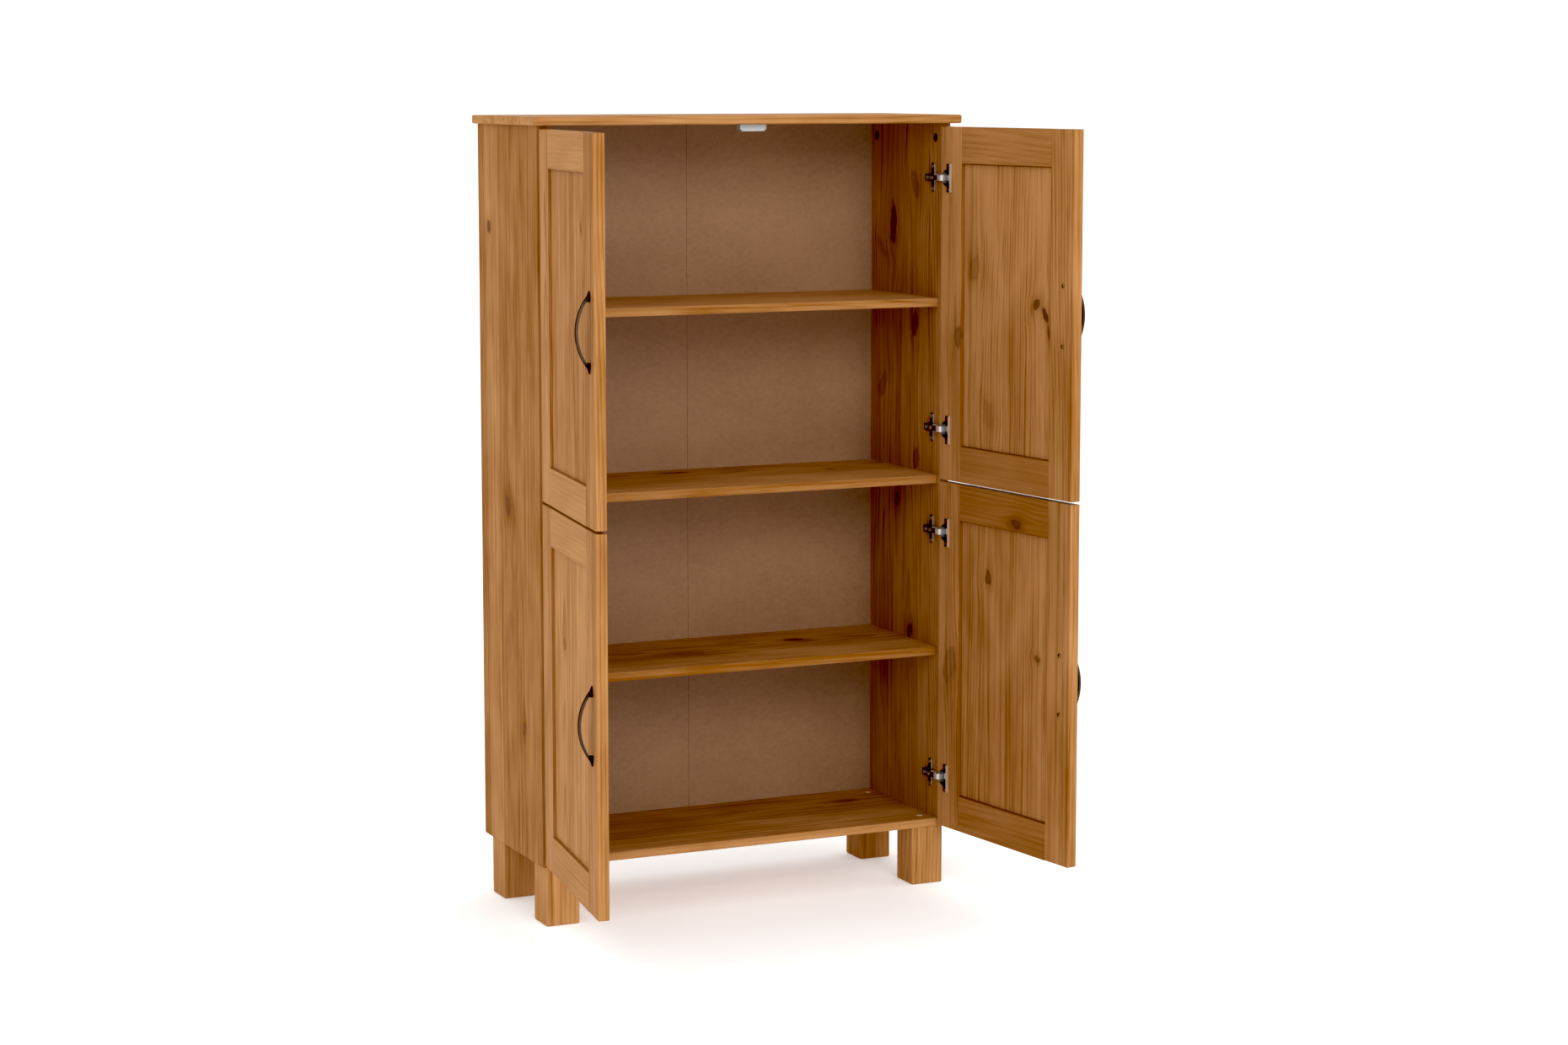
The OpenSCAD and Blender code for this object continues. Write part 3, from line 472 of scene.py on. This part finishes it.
# Knots as (across, along, radius, stretch, lean, strength), from the middle of the closed board
KNOTS = {
    "side_left": [(0.087, 0.428, 0.008, 1.3, 0.1, 0.8), (0.008, -0.023, 0.010, 1.8, -0.5, 0.7),
        (0.004, -0.235, 0.015, 2.6, 0.1, 0.15), (-0.060, -0.380, 0.007, 1.5, 0.2, 0.5)],
    "side_right": [(0.036, 0.420, 0.012, 2.7, 0.0, 0.95), (0.080, 0.378, 0.006, 4.0, -0.9, 0.12),
        (-0.044, 0.493, 0.012, 2.0, -0.4, 0.35), (-0.047, 0.256, 0.010, 2.4, 0.1, 0.7),
        (-0.053, 0.027, 0.011, 1.6, 0.3, 0.5), (0.077, 0.139, 0.012, 2.0, 0.5, 0.3),
        (0.018, -0.050, 0.006, 2.2, 0.1, 0.8), (-0.031, -0.274, 0.009, 1.4, 0.2, 0.8)],
    "upper_right_panel": [(-0.080, 0.014, 0.007, 1.6, 0.6, 0.85), (-0.103, -0.001, 0.006, 2.4, -0.4, 1.0),
        (-0.112, -0.027, 0.003, 4.0, -0.2, 0.7), (0.091, 0.063, 0.014, 1.6, 0.5, 0.2),
        (0.051, -0.174, 0.016, 1.5, -0.3, 0.15)],
    "lower_right_panel": [(0.047, 0.148, 0.008, 1.5, 0.0, 0.7), (-0.089, 0.032, 0.008, 0.6, 0.1, 0.6)],
    "lower_right_top_rail": [(-0.018, -0.036, 0.008, 1.5, 0.0, 0.9)],
    "lower_right_hinge_stile": [(-0.002, -0.015, 0.016, 2.0, 0.2, 0.3)],
    "upper_right_hinge_stile": [(-0.021, -0.052, 0.009, 2.4, 0.1, 0.5)],
    "upper_left_panel": [(0.080, 0.149, 0.003, 4.0, 0.1, 0.7)],
    "lower_left_panel": [(-0.050, 0.090, 0.006, 1.8, 0.2, 0.5)],
    "shelf_middle": [(0.086, -0.042, 0.008, 3.0, 0.1, 0.8), (0.030, 0.223, 0.004, 1.3, 0.0, 0.9)],
    "shelf_lower": [(0.038, 0.159, 0.010, 1.6, 0.2, 1.0), (-0.017, -0.056, 0.016, 1.8, 0.3, 0.2)],
    "bottom_board": [(0.056, 0.265, 0.010, 1.8, 0.1, 0.3)],
    "top_board": [(-0.060, -0.180, 0.009, 1.5, 0.2, 0.8), (0.050, 0.210, 0.006, 1.2, 0.0, 0.7)],
}


def board_axes(node):
    """The axes across, through and along a board: its grain runs along its longest side."""
    size = np.ptp(closed_points(node), axis=0)
    along = int(np.argmax(size))
    through = 1 if node.startswith("leg_") else int(np.argmin(size))
    across = 3 - along - through
    return across, through, along


def board_vector(tree, node):
    """A point of the board as (across, through, along), from its middle, with its door closed."""
    matrix = closing(node)
    points = closed_points(node)
    middle = (points.min(axis=0) + points.max(axis=0)) / 2
    place = add(tree, "ShaderNodeTexCoord").outputs["Object"]
    inputs = {
        "Vector": place,
        "Location": matrix.translation - Vector(middle),
        "Rotation": matrix.to_euler(),
    }
    closed = add(tree, "ShaderNodeMapping", inputs).outputs[0]
    parts = add(tree, "ShaderNodeSeparateXYZ", [closed]).outputs
    across, through, along = board_axes(node)
    return add(tree, "ShaderNodeCombineXYZ", [parts[across], parts[through], parts[along]]).outputs[0]


def space(board, other, axis):
    """How far apart two boards of a closed door are along an axis."""
    a = closed_points(board)[:, axis]
    b = closed_points(other)[:, axis]
    return float(max(a.min() - b.max(), b.min() - a.max()))


def shade_share(tree, parts):
    """Less of the painted shade goes in the corners of a door's outer face."""
    return ramp(tree, parts[1], -OUTER_BAND, OUTER_BAND, OUTER_SHADE_SHARE, 1.0)


def groove_shade(tree, board, panel):
    """Painted shade where a panel goes into its grooves."""
    door = panel.removesuffix("_panel")
    half_width = space(door + "_hinge_stile", door + "_handle_stile", 0) / 2
    half_height = space(door + "_top_rail", door + "_bottom_rail", 2) / 2
    parts = add(tree, "ShaderNodeSeparateXYZ", [board]).outputs
    beside = calc(tree, "SUBTRACT", half_width, calc(tree, "ABSOLUTE", parts[0]))
    above = calc(tree, "SUBTRACT", half_height, calc(tree, "ABSOLUTE", parts[2]))
    painted_shade = ramp(tree, calc(tree, "MINIMUM", beside, above), GROOVE_SHADE_WIDTH, 0.0)
    return calc(tree, "MULTIPLY", painted_shade, shade_share(tree, parts))


def inner_edge_shade(tree, board, node):
    """Painted shade on the face of a frame's piece that looks at the panel."""
    across = board_axes(node)[0]
    side = next(face[0] for face in COVERED[node] if face[1] == "xyz"[across])
    half = float(np.ptp(closed_points(node)[:, across])) / 2
    parts = add(tree, "ShaderNodeSeparateXYZ", [board]).outputs
    inward = calc(tree, "MULTIPLY", parts[0], -1.0 if side == "-" else 1.0)
    painted_shade = ramp(tree, inward, half - INNER_EDGE, half)
    return calc(tree, "MULTIPLY", painted_shade, shade_share(tree, parts))


def facing(tree, axis):
    """One where a surface faces along an axis of its object, and zero where it faces across it."""
    normal = add(tree, "ShaderNodeTexCoord").outputs["Normal"]
    along = add(tree, "ShaderNodeSeparateXYZ", [normal]).outputs[axis]
    return ramp(tree, calc(tree, "ABSOLUTE", along), *FACING)


def pine_material(node, seed, tone):
    """Pine for one board, with its own knots and tone, and with painted shade in the corners of a door."""
    made, tree, shader = material("pine_" + node, IOR=1.45, Specular_IOR_Level=0.01)
    board = board_vector(tree, node)
    fields = {"Flow": board, "Heart": 0.0, "Rim": 0.0, "Halo": 0.0}
    for across, along, radius, stretch, lean, strength in KNOTS.get(node, ()):
        inputs = {"Board": board, **fields, "Centre": (across, 0, along), "Radius": radius,
            "Stretch": stretch, "Lean": lean, "Strength": strength}
        knot = add(tree, "ShaderNodeGroup", inputs, node_tree=knot_tree)
        fields = {title: knot.outputs[title] for title in fields}
    if node.endswith("_panel"):
        # painted shade along the panel's grooves, which also takes the dark colour of a knot's rim
        painted_shade = groove_shade(tree, board, node)
        tone = calc(tree, "MULTIPLY_ADD", painted_shade, GROOVE_TONE, tone)
        fields["Rim"] = calc(tree, "MAXIMUM", fields["Rim"], calc(tree, "MULTIPLY", painted_shade, GROOVE_DARKNESS))
    elif node.startswith(DOORS):
        # painted shade on the frame's inner faces beside the panel
        tone = calc(tree, "MULTIPLY_ADD", inner_edge_shade(tree, board, node), INNER_EDGE_TONE, tone)
    if node.startswith("shelf_"):
        # painted shade: the shelves' front edges are darker than their faces
        tone = calc(tree, "MULTIPLY_ADD", facing(tree, 1), SHELF_EDGE_SHADE, tone)
    contrast = RAIL_CONTRAST if node.endswith("_rail") else 1.0
    inputs = {"Board": board, **fields, "Seed": seed, "Contrast": contrast, "Tone": tone}
    pine = add(tree, "ShaderNodeGroup", inputs, node_tree=pine_tree)
    tree.links.new(pine.outputs["Color"], shader.inputs["Base Color"])
    tree.links.new(pine.outputs["Roughness"], shader.inputs["Roughness"])
    bump(tree, shader, pine.outputs["Height"], *PINE_BUMP)
    return made


# Other finishes

def object_place(tree):
    return add(tree, "ShaderNodeTexCoord").outputs["Object"]


def hardboard_material():
    """Pressed fibres: soft clouds, fine fluff and darker flecks."""
    made, tree, shader = material("hardboard", IOR=1.45)
    place = object_place(tree)
    fluff = noise(tree, place, (110, 110, 150), detail=5.0, roughness=0.65)
    clouds = noise(tree, place, (5, 5, 7), detail=2.0)
    flecks = ramp(tree, noise(tree, place, (260, 260, 340), detail=2.0), 0.62, 0.78)
    tone = calc(tree, "ADD", calc(tree, "MULTIPLY", fluff, 0.6), calc(tree, "MULTIPLY", clouds, 0.4))
    base = mix(tree, ramp(tree, tone, *NARROW), *HARDBOARD)
    base = mix(tree, calc(tree, "MULTIPLY", flecks, 0.35), base, HARDBOARD_FLECK)
    tree.links.new(base, shader.inputs["Base Color"])
    tree.links.new(ramp(tree, fluff, *WIDE, 0.55, 0.75), shader.inputs["Roughness"])
    bump(tree, shader, fluff, *HARDBOARD_BUMP)
    return made


def speckle(tree, scale):
    """The cloudy noise of a metal's skin."""
    return noise(tree, object_place(tree), (scale, scale, scale), detail=4.0, roughness=0.6)


def metal_material(name, colours, roughness, scale):
    """Bare or plated metal, cloudy in its colour and in its polish."""
    made, tree, shader = material(name, Metallic=1.0)
    cloud = speckle(tree, scale)
    tree.links.new(mix(tree, ramp(tree, cloud, *NARROW), *colours), shader.inputs["Base Color"])
    tree.links.new(ramp(tree, cloud, *NARROW, *roughness), shader.inputs["Roughness"])
    bump(tree, shader, cloud, *METAL_BUMP)
    return made


def hinge_steel_material(name, metallic, hook_end=None):
    """Nickelled steel in a lit and a shaded colour: painted shade on faces that don't look to the front,
    and a painted highlight on those that do and on a hook up to its end.
    """
    made, tree, shader = material(name, Metallic=metallic)
    # painted shade where a face doesn't look to the front
    shaded = calc(tree, "SUBTRACT", 1.0, facing(tree, 1))
    if hook_end is not None:
        depth = add(tree, "ShaderNodeSeparateXYZ", [object_place(tree)]).outputs[1]
        # painted highlight on the arm's hook, up to hook_end
        shaded = calc(tree, "MULTIPLY", shaded, ramp(tree, depth, hook_end - HOOK_FADE, hook_end))
    cloud = speckle(tree, 240)
    base = mix(tree, shaded, mix(tree, cloud, *LIT_STEEL), mix(tree, cloud, *SHADED_STEEL))
    tree.links.new(base, shader.inputs["Base Color"])
    tree.links.new(ramp(tree, cloud, *NARROW, 0.30, 0.44), shader.inputs["Roughness"])
    bump(tree, shader, cloud, *METAL_BUMP)
    return made


def bronze_material(handle):
    """Dark patina, with a lighter colour over the middle of the bow."""
    made, tree, shader = material("bronze_" + handle, Metallic=1.0, Specular_Tint=RIM_TINT)
    along = add(tree, "ShaderNodeSeparateXYZ", [board_vector(tree, handle)]).outputs[2]
    cloud = speckle(tree, 160)
    bow_share = ramp(tree, calc(tree, "ABSOLUTE", along), BOW_REACH, BOW_REACH - BOW_FADE)
    bow_share = calc(tree, "MULTIPLY", bow_share, ramp(tree, cloud, 0.25, 0.65, 0.55, 1.0))
    tree.links.new(mix(tree, bow_share, PATINA, BOW_COLOUR), shader.inputs["Base Color"])
    tree.links.new(ramp(tree, cloud, *NARROW, 0.38, 0.52), shader.inputs["Roughness"])
    bump(tree, shader, cloud, *METAL_BUMP)
    return made


def plain_material(name, colours, roughness):
    """Plastic or a dull plated skin, hardly uneven."""
    made, tree, shader = material(name)
    cloud = noise(tree, object_place(tree), (300, 300, 300), detail=3.0)
    tree.links.new(mix(tree, cloud, *colours), shader.inputs["Base Color"])
    tree.links.new(ramp(tree, cloud, *WIDE, *roughness), shader.inputs["Roughness"])
    bump(tree, shader, cloud, *PLASTIC_BUMP)
    return made


def beech_material():
    """Raw dowels, with their fibres along X."""
    made, tree, shader = material("beech")
    fibres = noise(tree, object_place(tree), (60, 500, 500), detail=3.0)
    tree.links.new(mix(tree, fibres, *BEECH), shader.inputs["Base Color"])
    tree.links.new(ramp(tree, fibres, *WIDE, 0.6, 0.75), shader.inputs["Roughness"])
    bump(tree, shader, fibres, *BEECH_BUMP)
    return made


def make_finishes():
    """The shared finishes, by the slot or by the one node that wears them."""
    hook_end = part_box("hinge_arms")[0][1] + HOOK_REACH
    return {
        "hardboard": hardboard_material(),
        "beech": beech_material(),
        "hinge_steel": hinge_steel_material("hinge_steel", 0.65),
        "hinge_arms": hinge_steel_material("hinge_arm_steel", 0.5, hook_end),
        "zinc": metal_material("zinc", ZINC, (0.20, 0.34), 240),
        "dark_screw": metal_material("dark_screw", BROWNED_STEEL, (0.3, 0.45), 300),
        # the leg screws' heads: yellow zinc with a painted highlight in their colour
        "leg_screws": plain_material("pale_screw", YELLOW_ZINC_AND_HIGHLIGHT, (0.35, 0.47)),
        "brown_fitting": plain_material("brown_fitting", BROWN_PLASTIC, (0.40, 0.52)),
        "white_plastic": plain_material("white_plastic", WHITE_PLASTIC, (0.35, 0.47)),
    }


def dress_all():
    """Gives each node the finish of its slot. Boards and handles each have their own."""
    finishes = make_finishes()
    for index, (name, obj) in enumerate(sorted(NODES.items())):
        slot = obj.data.materials[0].name.split(".")[0]
        if name in finishes:
            slot = name
        elif slot == "zinc" and "hinge" in name:
            slot = "hinge_steel"
        if slot == "pine":
            seed = SEED_STEP * index + FIRST_SEED
            obj.data.materials[0] = pine_material(name, seed, TONES.get(name, 0.0))
        elif slot == "bronze":
            obj.data.materials[0] = bronze_material(name)
        else:
            obj.data.materials[0] = finishes[slot]


# Floor, light and camera

def stage_floor():
    bpy.ops.mesh.primitive_plane_add(size=FLOOR_SIZE, location=(0, 0, -FLOOR_DROP))
    floor = bpy.context.object
    floor.name = "floor"
    made = material("floor", Base_Color=FLOOR_COLOUR, Roughness=0.9, Emission_Color=WHITE,
        Emission_Strength=FLOOR_GLOW)[0]
    floor.data.materials.append(made)


def light_all():
    world = bpy.data.worlds.new("studio")
    world.use_nodes = True
    sky = world.node_tree.nodes["Background"].inputs
    sky["Color"].default_value = WHITE
    sky["Strength"].default_value = SKY_STRENGTH
    bpy.context.scene.world = world
    for name, (place, power) in SOFTBOXES.items():
        data = bpy.data.lights.new(name, "AREA")
        data.shape = "DISK"
        data.size = SOFTBOX_SIZE
        data.energy = power
        softbox = bpy.data.objects.new(name, data)
        softbox.location = place
        softbox.rotation_euler = (Vector(LIGHT_TARGET) - Vector(place)).to_track_quat("-Z", "Y").to_euler()
        bpy.context.scene.collection.objects.link(softbox)


def set_picture():
    """Plain tones, with the black level raised a little so that shadows are deeper."""
    view = bpy.context.scene.view_settings
    view.view_transform = "Standard"
    view.use_curve_mapping = True
    view.curve_mapping.black_level = (BLACK_LEVEL,) * 3
    view.curve_mapping.update()


def place_camera():
    data = bpy.data.cameras.new("camera")
    data.lens = CAMERA_LENS
    data.shift_y = CAMERA_SHIFT_Y
    camera = bpy.data.objects.new("camera", data)
    camera.location = CAMERA_AT
    camera.rotation_euler = (math.radians(90 - CAMERA_PITCH), 0, math.radians(-CAMERA_TURN))
    bpy.context.scene.collection.objects.link(camera)
    bpy.context.scene.camera = camera


knot_tree = knot_group()
pine_tree = pine_group()
shading_tree = shading_group()
soften_boards()
dress_all()
stage_floor()
light_all()
place_camera()
set_picture()
